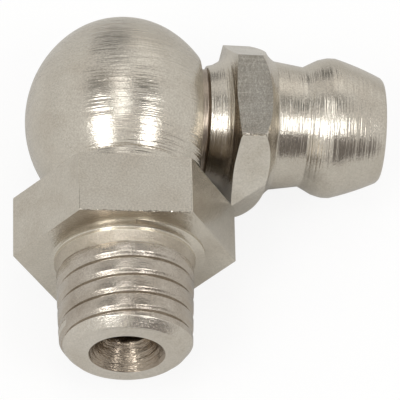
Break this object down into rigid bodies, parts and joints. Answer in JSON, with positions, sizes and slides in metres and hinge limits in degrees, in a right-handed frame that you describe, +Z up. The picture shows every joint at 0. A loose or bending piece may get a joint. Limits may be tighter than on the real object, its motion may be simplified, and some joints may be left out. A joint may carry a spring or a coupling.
{
  "type": "grease nipple",
  "caption": "Right-angle grease nipple with a tapered threaded shank, a hexagon under a ball, and a side nozzle whose coupler head holds a spring-loaded check ball.",
  "frame": {"origin": "centre of the sealing ring face under the hexagon, on the shank's axis", "axes": "-Y along the shank, out of the machine end; +X along the nozzle, out of its mouth; +Z up, square to both, as the fitting lies on its side"},
  "size_m": [0.0174, 0.0174, 0.0092],
  "materials": {
    "plated_body": "bright nickel plate over turned and milled steel",
    "plated_nozzle": "bright nickel plate over turned and milled steel",
    "ball_steel": "polished hardened steel",
    "spring_steel": "drawn spring wire"
  },
  "bodies": {
    "fitting": {"elbow_body": "plated_body", "nozzle": "plated_nozzle", "spring": "spring_steel"},
    "valve_ball": {"check_ball": "ball_steel"}
  },
  "joints": [
    {"name": "valve_slide", "type": "slide", "parent": "fitting", "child": "valve_ball", "axis": [-1, 0, 0], "range_m": [0, 0.001], "stiffness_N_per_m": 400, "springref_m": -0.0015, "deforming": ["spring"]}
  ]
}
